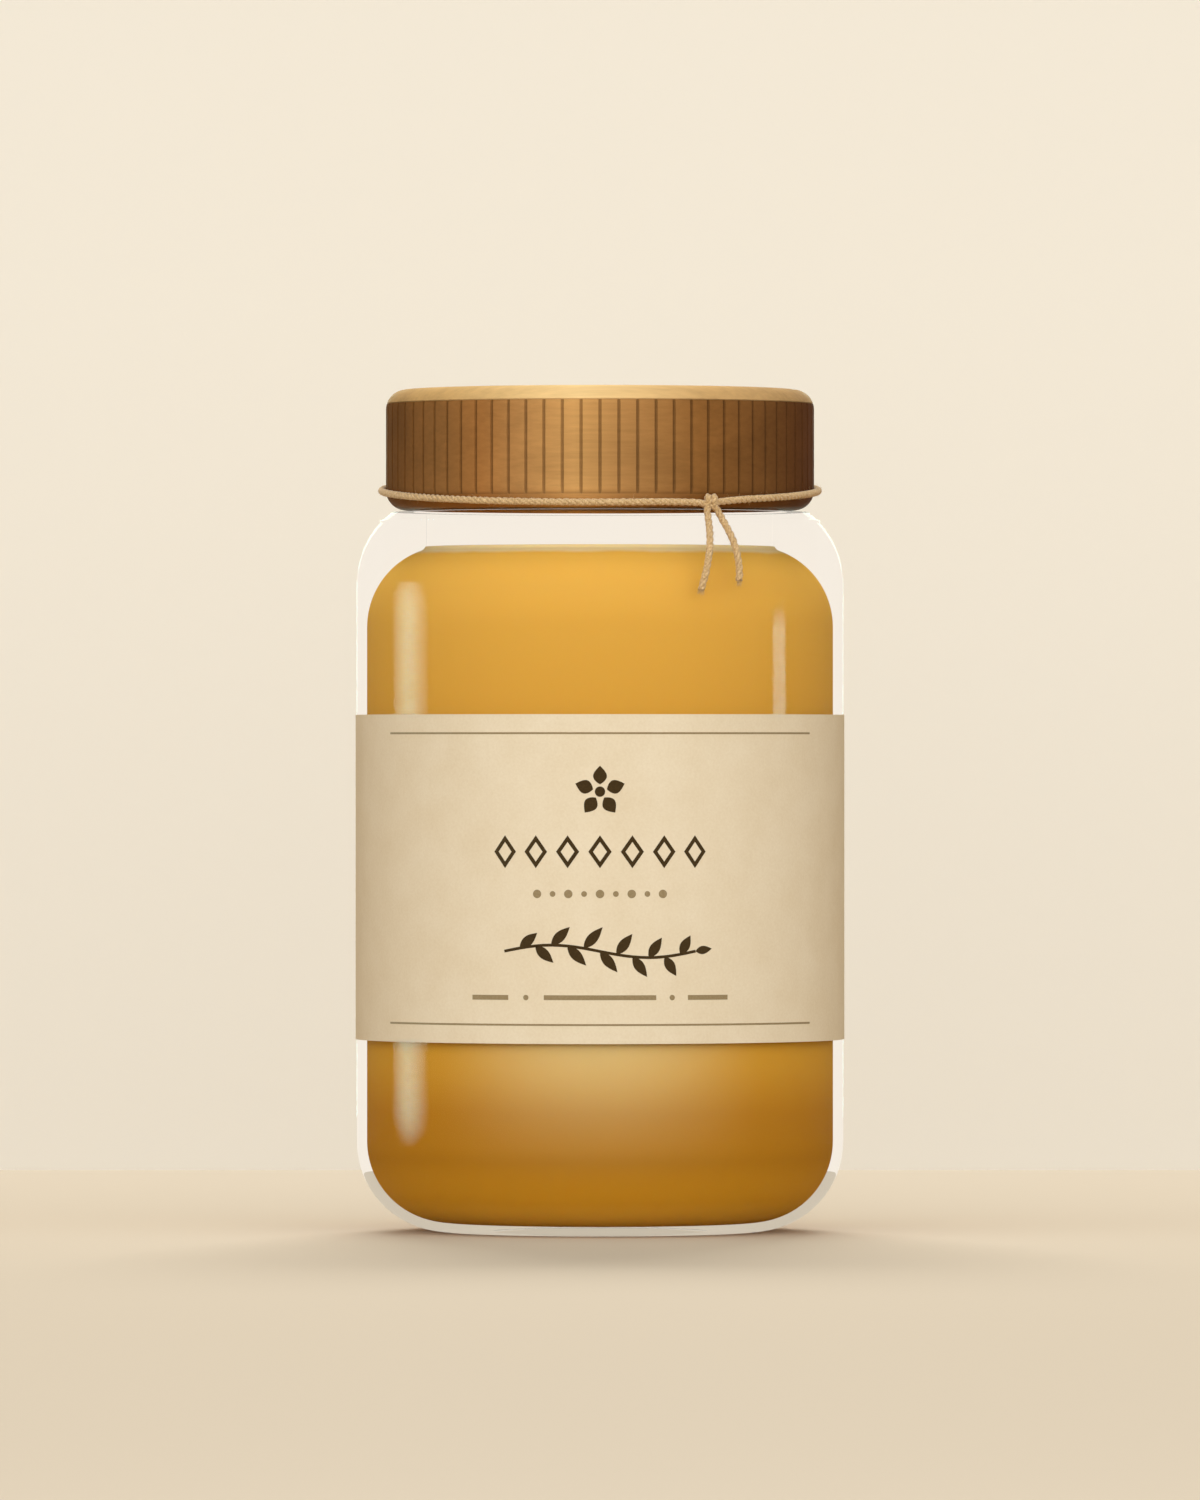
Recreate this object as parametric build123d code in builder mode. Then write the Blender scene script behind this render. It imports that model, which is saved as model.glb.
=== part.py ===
from build123d import *
import os
from math import acos, asin, cos, degrees, pi, radians, sin, sqrt, tan

# A glass honey jar with a turned wooden cap, a paper band label and a tied twine.
#
# Millimetres, +Z up. The origin is the centre of the ring that the jar stands on, and the front
# of the label faces -Y. Each piece is built in its place.

# ---- Glass ----
neck_radius = 27.5  # outside
neck_wall = 2.0
neck_height = 14.6  # from the land up to the rim
rim_round = 0.8
shoulder_step = 8.3  # how far the body stands out from the neck
body_wall = 1.65
wall_height = 95.3  # from the standing ring to the top of the straight wall
shoulder_radius = 13.25
land_rise = 10.5  # from the top of the straight wall to the flat land round the neck
land_round = 0.4
foot_radius = 13.2
floor_thickness = 1.5
inner_round = 11.8  # rounds of the cavity, at its foot and at its shoulder
shoulder_drop = 6.4  # how much lower the cavity's shoulder starts than the outside's
bore_round = 1.2  # where the cavity's shoulder turns up into the neck
push_up_radius = 16.0  # the shallow hollow under the floor, inside the standing ring
push_up_height = 0.6
bead_radius = 0.25  # the fine ring that the neck mould leaves round the shoulder
bead_rise = 9.1  # from the top of the straight wall up to the bead

# ---- Honey ----
head_space = 19.9  # from the honey up to the cap's ceiling
honey_clearance = 0.05

# ---- Cap ----
cap_clearance = 0.4  # radial, round the neck
cap_wall = 3.6
cap_ceiling = 1.3  # wood over the rim, under the top disc
cap_gap = 0.3  # between the cap's foot and the land
cap_round = 2.9
cap_mouth_chamfer = 0.4
disc_thickness = 2.1
disc_chamfer = 0.15  # at its lower edge, a fine line where it is glued on
groove_count = 72
groove_radius = 0.25
groove_foot = 1.9  # smooth band left under the grooves

# ---- Label ----
label_height = 47.7
label_foot = 28.3
paper = 0.15
glue_line = 0.02
label_seam = 2.0  # between the label's two ends, at the back

# ---- Twine ----
twine_diameter = 1.0
twine_slack = 0.1  # round the cap
loop_front = 0.6  # height of the loop's lowest point above the cap's foot
loop_rise = 2.3  # from there up to the middle of the loop
knot_angle = 29.0  # from the front, towards +X
knot_length = 2.6
knot_depth = 2.2
knot_height = 2.0
knot_round = 0.3
knot_clearance = 0.05  # between the knot and the cap's side
knot_fit = 0.15  # between the knot and the two ends of the loop
tail_out = 0.85  # from the knot's outer face in to the middle of a tail
tail_lift = 0.4  # between a tail and the glass under it, clear of the bead
# Each point is (across to +X, down) from the middle of the knot.
left_tail = [(-0.55, 0.4), (-0.25, 2.4), (0.0, 4.6), (0.0, 6.8), (-0.3, 9.0), (-0.75, 11.1), (-1.3, 13.0)]
right_tail = [(0.55, 0.4), (1.6, 2.3), (2.7, 4.3), (3.6, 6.3), (4.1, 8.4), (4.3, 10.2), (4.2, 11.8)]

# ---- Worked out from the sizes above ----
bore_radius = neck_radius - neck_wall
body_radius = neck_radius + shoulder_step
inner_radius = body_radius - body_wall
shoulder_centre = body_radius - shoulder_radius
land_height = wall_height + land_rise
rim_height = land_height + neck_height
fill_level = rim_height - head_space
cap_inner_radius = neck_radius + cap_clearance
cap_radius = cap_inner_radius + cap_wall
cap_foot = land_height + cap_gap
skirt_top = rim_height + cap_ceiling
cap_top_height = skirt_top + disc_thickness
seam_angle = degrees(label_seam / body_radius)
twine_radius = twine_diameter / 2
loop_radius = cap_radius + twine_radius + twine_slack
loop_middle = cap_foot + loop_front + loop_rise
loop_tilt = asin(loop_rise / loop_radius)
knot_middle = loop_middle - loop_rise * cos(radians(knot_angle))
knot_out = cap_radius + knot_clearance + knot_depth / 2
tail_start = knot_out + knot_depth / 2 - tail_out


def outward(angle):
    """The level direction that points out from the axis at this angle from the front."""
    return Vector(sin(radians(angle)), -cos(radians(angle)), 0)


def upright_plane(angle):
    """The upright half plane at this angle: its X points outward and its Y up."""
    return Plane(origin=(0, 0, 0), x_dir=outward(angle), z_dir=outward(angle).cross(Vector(0, 0, 1)))


def cavity_section(inset, top):
    """Half section of the space inside the glass up to this height, drawn in by the inset."""
    wall_r = inner_radius - inset
    bore_r = bore_radius - inset
    corner_r = inner_radius - inner_round
    corner = inner_round - inset
    with BuildSketch(Plane.XZ) as section:
        with BuildLine():
            floor = Line((0, floor_thickness + inset), (corner_r, floor_thickness + inset))
            foot = JernArc(floor @ 1, (1, 0), corner, 90)
            side = Line(foot @ 1, (wall_r, wall_height - shoulder_drop))
            shoulder = JernArc(side @ 1, (0, 1), corner, degrees(acos((bore_r - corner_r) / corner)))
            bore = Line(shoulder @ 1, (bore_r, rim_height))
            Polyline(bore @ 1, (0, rim_height), floor @ 0)
        make_face()
        turn_up = section.vertices().sort_by_distance(bore @ 0)[0]
        fillet(turn_up, bore_round + inset)
        with Locations((0, top)):
            Rectangle(body_radius, cap_top_height, align=(Align.MIN, Align.MIN), mode=Mode.SUBTRACT)
    return section.sketch


def cap_section():
    """Half section of the whole cap's outline, as if it were solid wood."""
    with BuildSketch(Plane.XZ) as section:
        with Locations((0, cap_foot)):
            Rectangle(cap_radius, cap_top_height - cap_foot, align=(Align.MIN, Align.MIN))
        fillet(section.vertices().group_by(Axis.X)[-1], cap_round)
    return section.sketch


def on_glass(height):
    """Distance from the axis to the middle of a tail that lies over the glass at this height."""
    above = max(0.0, height - wall_height)
    return shoulder_centre + sqrt((shoulder_radius + tail_lift + twine_radius) ** 2 - above**2)


def tail_route(points):
    """The points in space of a tail that comes down from the knot and lies over the shoulder."""
    knot_x = tail_start * sin(radians(knot_angle))
    route = []
    for across, down in points:
        height = knot_middle - down
        out = tail_start if height > cap_foot - twine_radius else on_glass(height)
        x = knot_x + across
        route.append(Vector(x, -sqrt(out**2 - x**2), height))
    return route


def bend_radii(route):
    """The radius of the tangent arc at each corner of a route, as large as its runs allow."""
    radii = []
    for before, corner, after in zip(route, route[1:], route[2:]):
        half_turn = radians((corner - before).get_angle(after - corner)) / 2
        shorter = min((corner - before).length, (after - corner).length)
        radii.append(0.45 * shorter / tan(half_turn))
    return radii


# ---- The glass: one revolved wall, open at the rim ----
push_up_curve = (push_up_radius**2 + push_up_height**2) / (2 * push_up_height)
push_up_turn = degrees(asin(push_up_radius / push_up_curve))
with BuildPart() as jar:
    with BuildSketch(Plane.XZ) as outline:
        with BuildLine():
            hollow = JernArc((0, push_up_height), (1, 0), push_up_curve, -push_up_turn)
            ring = Line(hollow @ 1, (body_radius - foot_radius, 0))
            foot = JernArc(ring @ 1, (1, 0), foot_radius, 90)
            side = Line(foot @ 1, (body_radius, wall_height))
            shoulder = JernArc(side @ 1, (0, 1), shoulder_radius, degrees(asin(land_rise / shoulder_radius)))
            land = Line(shoulder @ 1, (neck_radius, land_height))
            neck = Line(land @ 1, (neck_radius, rim_height))
            Polyline(neck @ 1, (0, rim_height), hollow @ 0)
        make_face()
        land_edge = outline.vertices().sort_by_distance(land @ 0)[0]
        fillet(land_edge, land_round)
        with Locations((shoulder_centre + sqrt(shoulder_radius**2 - bead_rise**2), wall_height + bead_rise)):
            Circle(bead_radius)
    revolve(axis=Axis.Z)
    add(cavity_section(inset=0, top=rim_height))
    revolve(axis=Axis.Z, mode=Mode.SUBTRACT)
    fillet(jar.edges().filter_by(GeomType.CIRCLE).group_by(Axis.Z)[-1], rim_round)
jar.part.label = "jar"

# ---- The honey: the cavity's own shape, filled to its level ----
with BuildPart() as honey:
    add(cavity_section(inset=honey_clearance, top=fill_level))
    revolve(axis=Axis.Z)
honey.part.label = "honey"

# ---- The cap's body: a grooved skirt and a ceiling that rests on the rim ----
with BuildPart() as cap:
    add(cap_section())
    revolve(axis=Axis.Z)
    split(bisect_by=Plane.XY.offset(skirt_top), keep=Keep.BOTTOM)
    with BuildSketch(Plane.XY.offset(cap_foot)):
        Circle(cap_inner_radius)
    extrude(amount=rim_height - cap_foot, mode=Mode.SUBTRACT)
    mouth = cap.edges().filter_by(GeomType.CIRCLE).group_by(Axis.Z)[0].sort_by(SortBy.RADIUS)[0]
    chamfer(mouth, cap_mouth_chamfer)
    with BuildSketch(Plane.XY.offset(cap_foot + groove_foot)):
        with PolarLocations(cap_radius, groove_count):
            Circle(groove_radius)
    extrude(amount=skirt_top - cap_foot - groove_foot, mode=Mode.SUBTRACT)
cap.part.label = "cap"

# ---- The cap's top disc, glued over the skirt ----
with BuildPart() as cap_disc:
    add(cap_section())
    revolve(axis=Axis.Z)
    split(bisect_by=Plane.XY.offset(skirt_top), keep=Keep.TOP)
    chamfer(cap_disc.edges().group_by(Axis.Z)[0], disc_chamfer)
cap_disc.part.label = "cap_disc"

# ---- The label: a paper band stuck round the straight wall ----
with BuildPart() as label:
    with BuildSketch(upright_plane(180 + seam_angle / 2)):
        with Locations((body_radius + glue_line, label_foot)):
            Rectangle(paper, label_height, align=(Align.MIN, Align.MIN))
    revolve(axis=Axis.Z, revolution_arc=360 - seam_angle)
label.part.label = "label"

# ---- The twine: a knot, the loop that it closes, and the two tails that hang from it ----
knot_plane = Plane(
    origin=outward(knot_angle) * knot_out + Vector(0, 0, knot_middle),
    x_dir=outward(knot_angle + 90),
    z_dir=(0, 0, 1),
)
with BuildPart(knot_plane) as twine_knot:
    Box(knot_length, knot_depth, knot_height)
    fillet(twine_knot.edges(), knot_round)
twine_knot.part.label = "twine_knot"

half_gap = degrees((knot_length / 2 + knot_fit) / loop_radius)
loop_plane = Plane(
    origin=(0, 0, loop_middle),
    x_dir=outward(knot_angle + half_gap),
    z_dir=(0, -sin(loop_tilt), cos(loop_tilt)),
)
with BuildPart() as twine_loop:
    with BuildSketch(Plane(origin=loop_plane.origin, x_dir=loop_plane.x_dir, z_dir=-loop_plane.y_dir)):
        with Locations((loop_radius, 0)):
            Circle(twine_radius)
    revolve(axis=Axis(loop_plane.origin, loop_plane.z_dir), revolution_arc=360 - 2 * half_gap)
twine_loop.part.label = "twine_loop"

tails = []
for side_name, points in (("left", left_tail), ("right", right_tail)):
    route = tail_route(points)
    radii = bend_radii(route)
    with BuildPart() as tail:
        with BuildLine():
            path = FilletPolyline(*route, radius=radii)
        with BuildSketch(Plane(origin=path @ 0, z_dir=path % 0)):
            Circle(twine_radius)
        sweep(path=path)
        whole = tail.part.volume
        add(twine_knot.part, mode=Mode.SUBTRACT)
    tail.part.label = "twine_tail_" + side_name
    tails.append(tail.part)
    section_length = pi * twine_radius**2 * path.length
    print(tail.part.label, "radii", [round(r, 2) for r in radii], "length", round(path.length, 2))
    print("   volume", round(whole, 3), "against section x length", round(section_length, 3))

loop_length = radians(360 - 2 * half_gap) * loop_radius
loop_volume = pi * twine_radius**2 * loop_length
print("twine_loop radius", round(loop_radius, 2), "length", round(loop_length, 1))
print("   volume", round(twine_loop.part.volume, 1), "against section x length", round(loop_volume, 1))

os.makedirs("parts", exist_ok=True)
for builder in (jar, honey, cap, cap_disc, label, twine_knot, twine_loop):
    export_step(builder.part, "parts/" + builder.part.label + ".step")
for piece in tails:
    export_step(piece, "parts/" + piece.label + ".step")
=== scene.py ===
# %% [markdown]
# # A jar of honey, finished for a picture
# The solid model of the jar is fixed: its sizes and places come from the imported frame. This file
# adds what a solid modeller leaves out, which is how each piece looks, and it goes through the
# jar from the camera inwards. Everything is in metres, +Z up, and the front faces -Y.

# %% Load the frame
import bmesh
import bpy
import math
import random
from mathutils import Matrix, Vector, noise


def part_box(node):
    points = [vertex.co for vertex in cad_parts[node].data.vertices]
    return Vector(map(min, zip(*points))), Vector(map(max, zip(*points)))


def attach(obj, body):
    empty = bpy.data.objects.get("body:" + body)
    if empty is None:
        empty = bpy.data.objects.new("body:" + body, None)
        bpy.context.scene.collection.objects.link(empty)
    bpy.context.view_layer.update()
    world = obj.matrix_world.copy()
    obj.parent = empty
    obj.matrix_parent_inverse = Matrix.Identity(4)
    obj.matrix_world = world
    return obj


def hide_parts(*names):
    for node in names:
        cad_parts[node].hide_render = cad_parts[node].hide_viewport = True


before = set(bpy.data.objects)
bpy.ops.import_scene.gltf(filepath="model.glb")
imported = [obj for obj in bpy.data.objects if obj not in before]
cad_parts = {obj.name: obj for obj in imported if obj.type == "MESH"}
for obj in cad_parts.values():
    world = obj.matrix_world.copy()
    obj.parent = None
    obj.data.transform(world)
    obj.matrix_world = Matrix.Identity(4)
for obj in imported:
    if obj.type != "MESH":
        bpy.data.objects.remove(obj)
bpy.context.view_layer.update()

MM = 0.001
jar_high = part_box("jar")[1]
honey_low, honey_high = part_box("honey")
cap_low, cap_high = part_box("cap")
disc_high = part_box("cap_disc")[1]
label_low, label_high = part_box("label")
knot_low, knot_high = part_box("twine_knot")
body_radius = jar_high.x
cap_radius = cap_high.x
label_radius = label_high.x
whole_height = disc_high.z
print(f"jar {body_radius * 2000:.1f} mm across, {whole_height * 1000:.1f} mm tall with its cap")

# %% [markdown]
# ## The camera
# The jar is seen square on, from the height of its own middle, so its sides stay upright and the
# label's edges stay nearly straight. A long lens from two metres away does that, as a product
# photographer would: from closer, the label's edges would bow. An orthographic camera would be
# flatter still, but its reflections look wrong in glass.

# %% Camera
camera_distance = 2.0
jar_share = 0.5607  # of the picture's height
picture_height = whole_height / jar_share
camera_height = whole_height * 0.572
sensor = 36.0  # mm

camera_data = bpy.data.cameras.new("camera")
camera_data.sensor_width = sensor
camera_data.lens = sensor * camera_distance / picture_height
camera = bpy.data.objects.new("camera", camera_data)
camera.location = (0, -camera_distance, camera_height)
camera.rotation_euler = (math.radians(90), 0, 0)
bpy.context.collection.objects.link(camera)
bpy.context.scene.camera = camera
print(f"lens {camera_data.lens:.0f} mm at {camera_distance} m")

# %% [markdown]
# ## Small helpers
# Three things are needed again and again: a colour, a node, and a piece. Colours are written as
# the hex codes that a paint or print shop gives, and one function turns them into the linear
# values that light adds up in. One function adds any node, and one turns points and faces into a
# piece that rides on the jar.

# %% Helpers for colours, nodes and pieces
def linear(hex_code):
    """An sRGB hex colour as linear red, green, blue and alpha."""
    channels = [int(hex_code[i : i + 2], 16) / 255 for i in (1, 3, 5)]
    return [c / 12.92 if c <= 0.04045 else ((c + 0.055) / 1.055) ** 2.4 for c in channels] + [1.0]


def add_node(tree, kind, sockets=None, stops=(), **settings):
    """Adds a node. A socket's value is a number, a colour or another node's output."""
    node = tree.nodes.new(kind)
    for name, value in settings.items():
        setattr(node, name, value)
    for name, value in (sockets or {}).items():
        if isinstance(value, bpy.types.NodeSocket):
            tree.links.new(value, node.inputs[name])
        else:
            node.inputs[name].default_value = value
    if stops:
        ramp = node.color_ramp.elements
        ramp.remove(ramp[1])
        ramp[0].position = stops[0][0]
        ramp[0].color = linear(stops[0][1])
        for place, hex_code in stops[1:]:
            ramp.new(place).color = linear(hex_code)
    return node


def new_material(name):
    """A material with an empty node tree."""
    material = bpy.data.materials.new(name)
    material.use_nodes = True
    material.node_tree.nodes.clear()
    return material, material.node_tree


def new_piece(name, points, faces, material):
    """A mesh object from points and faces, riding on the jar, with its finish."""
    mesh = bpy.data.meshes.new(name)
    mesh.from_pydata(points, [], faces)
    mesh.polygons.foreach_set("use_smooth", [True] * len(mesh.polygons))
    mesh.materials.append(material)
    mesh.update()
    piece = bpy.data.objects.new(name, mesh)
    bpy.context.collection.objects.link(piece)
    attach(piece, "root")
    print(f"{name}: {len(points)} points, {len(faces)} faces")
    return piece


# %% [markdown]
# ## Jute twine: the material
# Jute is a plant fibre, spun into yarns that are twisted together. It has no gloss, its colour
# changes from fibre to fibre, and the fine fuzz on it catches light at its edges. Fine noise
# gives the change of colour and some relief, and a little sheen stands for the fuzz that is too
# fine to model. Fibres are about 0.1 mm thick and lie in small bundles, which set the noise's
# scale.

# %% Jute
def make_jute():
    material, tree = new_material("spun jute fibre")
    place = add_node(tree, "ShaderNodeTexCoord").outputs["Object"]
    fibre = 0.25 * MM  # a small bundle of fibres, so that it shows
    streak = add_node(tree, "ShaderNodeTexNoise", {"Vector": place, "Scale": 1 / fibre, "Detail": 3.0})
    tint = add_node(
        tree,
        "ShaderNodeValToRGB",
        {"Fac": streak.outputs["Fac"]},
        stops=[(0.3, "#B68F58"), (0.7, "#E9CA98")],
    )
    bump = add_node(
        tree,
        "ShaderNodeBump",
        {"Height": streak.outputs["Fac"], "Strength": 0.5, "Distance": 0.1 * MM},
    )
    surface = add_node(
        tree,
        "ShaderNodeBsdfPrincipled",
        {
            "Base Color": tint.outputs["Color"],
            "Normal": bump.outputs["Normal"],
            "Roughness": 0.9,
            "Specular IOR Level": 0.2,
            "Sheen Weight": 0.25,
            "Sheen Roughness": 0.6,
        },
    )
    add_node(tree, "ShaderNodeOutputMaterial", {"Surface": surface.outputs[0]})
    return material


jute = make_jute()

# %% [markdown]
# ## Jute twine: the route
# The twine is one cord. It comes up from one tail, goes once round the cap's foot and down into
# the other tail, and the knot holds it where the two cross. A cord is best drawn as one smooth
# spline through a few listed points, because it then bends as a cord does. The turn round
# the cap is a true circle, so its points come from a loop. The tails' points are (across, down)
# from the knot, and each lies over the glass shoulder, whose round gives how far out it is.

# %% The twine's route
twine_diameter = 1.0 * MM
wall_height = 95.3 * MM
shoulder_radius = 13.25 * MM
tail_lift = 0.4 * MM
knot_angle = 29.0
loop_front = 0.6 * MM
loop_rise = 2.3 * MM
twine_slack = 0.1 * MM
left_tail = [
    (-0.55, 0.4),
    (-0.25, 2.4),
    (0.0, 4.6),
    (0.0, 6.8),
    (-0.3, 9.0),
    (-0.75, 11.1),
    (-1.3, 13.0),
]
right_tail = [
    (0.55, 0.4),
    (1.6, 2.3),
    (2.7, 4.3),
    (3.6, 6.3),
    (4.1, 8.4),
    (4.3, 10.2),
    (4.2, 11.8),
]

loop_radius = cap_radius + twine_diameter / 2 + twine_slack
loop_middle = cap_low.z + loop_front + loop_rise
knot_middle = loop_middle - loop_rise * math.cos(math.radians(knot_angle))
tail_start = cap_radius + 1.4 * MM
shoulder_centre = body_radius - shoulder_radius


def on_glass(height):
    """Distance from the axis to the middle of a tail that lies over the glass at this height."""
    above = max(0.0, height - wall_height)
    reach = shoulder_radius + tail_lift + twine_diameter / 2
    return shoulder_centre + math.sqrt(reach**2 - above**2)


def tail_route(points):
    """The points in space of a tail."""
    route = []
    for across, down in points:
        x = tail_start * math.sin(math.radians(knot_angle)) + across * MM
        z = knot_middle - down * MM
        out = tail_start if z > cap_low.z - twine_diameter / 2 else on_glass(z)
        route.append(Vector((x, -math.sqrt(out**2 - x**2), z)))
    return route


def loop_route(count=24, clear=9.0):
    """Points round the cap, from one side of the knot to the other, on a circle that leans forward."""
    route = []
    step = (360 - 2 * clear) / (count - 1)
    corner_radius = loop_radius / math.cos(math.radians(step / 2))
    for i in range(count):
        angle = math.radians(knot_angle + clear + i * step)
        x = corner_radius * math.sin(angle)
        y = -corner_radius * math.cos(angle)
        route.append(Vector((x, y, loop_middle - loop_rise * math.cos(angle))))
    return route


route_points = tail_route(left_tail)[::-1] + loop_route() + tail_route(right_tail)
print(f"{len(route_points)} points on the twine's route")


# %% [markdown]
# ## Jute twine: the yarns
# Three yarns twisted together make the cord. A plain round tube would look like wire, and a bump
# map can't change the outline, so each yarn is its own tube that winds round the route. The route
# is read back from the spline as Blender draws it, and a frame is carried along it without
# twisting, so that the only twist is the yarns' own. One full turn takes about three diameters,
# as it does in parcel twine.

# %% Build the yarns along a route
def spline_points(points, name):
    """The points along a smooth spline with these control points."""
    curve = bpy.data.curves.new(name, "CURVE")
    curve.dimensions = "3D"
    curve.resolution_u = 16
    spline = curve.splines.new("NURBS")
    spline.points.add(len(points) - 1)
    for target, point in zip(spline.points, points):
        target.co = (*point, 1.0)
    spline.order_u = 3
    spline.use_endpoint_u = True
    holder = bpy.data.objects.new(name, curve)
    bpy.context.collection.objects.link(holder)
    bpy.context.view_layer.update()
    mesh = bpy.data.meshes.new_from_object(holder)
    line = [v.co.copy() for v in mesh.vertices]
    bpy.data.objects.remove(holder)
    return line


def evenly(line, step):
    """The line again, with points this far apart."""
    out = [line[0]]
    carried = 0.0
    for a, b in zip(line, line[1:]):
        length = (b - a).length
        while carried + length >= step:
            a = a.lerp(b, (step - carried) / length)
            length = (b - a).length
            carried = 0.0
            out.append(a.copy())
        carried += length
    return out


def twisted_yarns(line, diameter, pitch, yarns=3, sides=8):
    """Points and faces of yarns that wind round a line."""
    yarn_radius = diameter * 0.3
    offset = diameter * 0.25
    flatness = 1.15  # the yarns press each other a little flat
    lumpiness = 0.10
    lumps_per_metre = 900
    along = [(b - a).normalized() for a, b in zip(line, line[1:])]
    along.append(along[-1])
    side = along[0].orthogonal().normalized()
    frames = []
    for direction in along:
        side = (side - direction * side.dot(direction)).normalized()
        frames.append((side.copy(), direction.cross(side)))
    points, faces = [], []
    travelled = [0.0]
    for a, b in zip(line, line[1:]):
        travelled.append(travelled[-1] + (b - a).length)
    for yarn in range(yarns):
        first = len(points)
        for centre, (u, v), length in zip(line, frames, travelled):
            turn = 2 * math.pi * (length / pitch + yarn / yarns)
            out = u * math.cos(turn) + v * math.sin(turn)
            beside = u * -math.sin(turn) + v * math.cos(turn)
            spot = centre * lumps_per_metre + Vector((yarn * 7.0, 0, 0))
            lump = 1 + lumpiness * noise.noise(spot)
            for k in range(sides):
                a = 2 * math.pi * k / sides
                outward = offset + yarn_radius * lump * math.cos(a)
                sideways = yarn_radius * flatness * lump * math.sin(a)
                points.append(centre + out * outward + beside * sideways)
        rings = len(line)
        for i in range(rings - 1):
            for k in range(sides):
                a, b = first + i * sides + k, first + i * sides + (k + 1) % sides
                faces.append((a, b, b + sides, a + sides))
        faces.append(tuple(first + k for k in reversed(range(sides))))
        faces.append(tuple(first + (rings - 1) * sides + k for k in range(sides)))
    return points, faces


twine_line = evenly(spline_points(route_points, "twine_route"), 0.28 * MM)
points, faces = twisted_yarns(twine_line, twine_diameter, pitch=3.1 * MM)
twine = new_piece("twine", points, faces, jute)
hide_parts("twine_loop", "twine_tail_left", "twine_tail_right")

# %% [markdown]
# ## Jute twine: the knot
# An overhand knot shows as two turns of the cord drawn tight round itself. Modelling the real
# crossing would take many points for something smaller than a peppercorn, so the knot is a short
# helix of the same yarns, wound round the place where the twine crosses itself.

# %% The knot
knot_centre = (knot_low + knot_high) / 2
knot_facing = math.radians(knot_angle)
knot_along = Vector((math.cos(knot_facing), math.sin(knot_facing), 0))
knot_out = Vector((math.sin(knot_facing), -math.cos(knot_facing), 0))
knot_turns = 1.75
knot_coil = 0.62 * MM
knot_pitch = 0.95 * MM
knot_start = math.radians(200)
knot_steps = 14
knot_points = []
for i in range(knot_steps + 1):
    share = i / knot_steps
    turn = 2 * math.pi * knot_turns * share + knot_start
    shift = knot_along * ((share - 0.5) * knot_turns * knot_pitch)
    outward = knot_out * (knot_coil * math.cos(turn))
    upward = Vector((0, 0, knot_coil * math.sin(turn)))
    knot_points.append(knot_centre + shift + outward + upward)
knot_line = evenly(spline_points(knot_points, "knot_route"), 0.16 * MM)
points, faces = twisted_yarns(knot_line, twine_diameter * 0.95, pitch=2.4 * MM)
knot = new_piece("twine_knot_turns", points, faces, jute)
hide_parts("twine_knot")

# %% [markdown]
# ## Jute twine: loose fibres
# Cut jute frays, and a few fibres stand off it all along. They are tiny three-sided hairs, joined
# into one mesh, with a tuft at each cut end. A particle system would be quicker to set up, but
# hairs made as real geometry go wherever the model goes.

# %% Fibres and frayed ends
def hair(start, direction, length, radius, wander, points, faces, rng):
    """Adds one bent hair, thinner towards its tip, to points and faces."""
    side = direction.orthogonal().normalized()
    first = len(points)
    place, heading = start.copy(), direction.copy()
    joints = 4
    for i in range(joints + 1):
        thin = radius * (1 - 0.8 * i / joints)
        u = (side - heading * side.dot(heading)).normalized()
        v = heading.cross(u)
        for k in range(3):
            a = 2 * math.pi * k / 3
            points.append(place + u * (thin * math.cos(a)) + v * (thin * math.sin(a)))
        heading = (heading + Vector([rng.uniform(-wander, wander) for _ in range(3)])).normalized()
        place = place + heading * (length / joints)
    for i in range(joints):
        for k in range(3):
            a, b = first + i * 3 + k, first + i * 3 + (k + 1) % 3
            faces.append((a, b, b + 3, a + 3))
    faces.append((first + 2, first + 1, first))
    faces.append((first + joints * 3, first + joints * 3 + 1, first + joints * 3 + 2))


stray_count = 420
stray_radius = 0.02 * MM
tuft_count = 46
tuft_radius = 0.035 * MM
rng = random.Random(4)
points, faces = [], []
for _ in range(stray_count):
    i = rng.randrange(2, len(twine_line) - 2)
    along = (twine_line[i + 1] - twine_line[i]).normalized()
    side = along.orthogonal().normalized()
    other = along.cross(along.orthogonal()).normalized()
    out = (side * rng.uniform(-1, 1) + other * rng.uniform(-1, 1)).normalized()
    start = twine_line[i] + out * (twine_diameter * 0.42)
    heading = (out * 0.7 + along * rng.choice((-1, 1))).normalized()
    length = rng.uniform(0.35, 1.0) * MM
    hair(start, heading, length, stray_radius, 0.35, points, faces, rng)
for tip, before in ((twine_line[0], twine_line[4]), (twine_line[-1], twine_line[-5])):
    along = (tip - before).normalized()
    for _ in range(tuft_count):
        spread = Vector([rng.uniform(-1, 1) for _ in range(3)]) * 0.38
        start = tip - along * 0.3 * MM + spread.cross(along) * (twine_diameter * 0.9)
        heading = (along + spread * 0.7).normalized()
        length = rng.uniform(0.6, 1.3) * MM
        hair(start, heading, length, tuft_radius, 0.22, points, faces, rng)
fibres = new_piece("twine_fibres", points, faces, jute)

# %% [markdown]
# ## Clear glass
# The jar is pressed soda-lime glass, which is colourless in a wall this thin. Real glass of IOR
# 1.5 full of honey acts as a strong lens and hides its own wall, because the honey seems to
# spread to the very edge. The wall is meant to show as a clear rim round the honey, so the glass
# hardly bends light here, and a thin clear coat of IOR 1.5 gives it real glass's reflections.
# Rays that look for a lamp, and those thrown back by the honey, pass straight through, so that
# what is inside is lit without noise.

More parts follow.
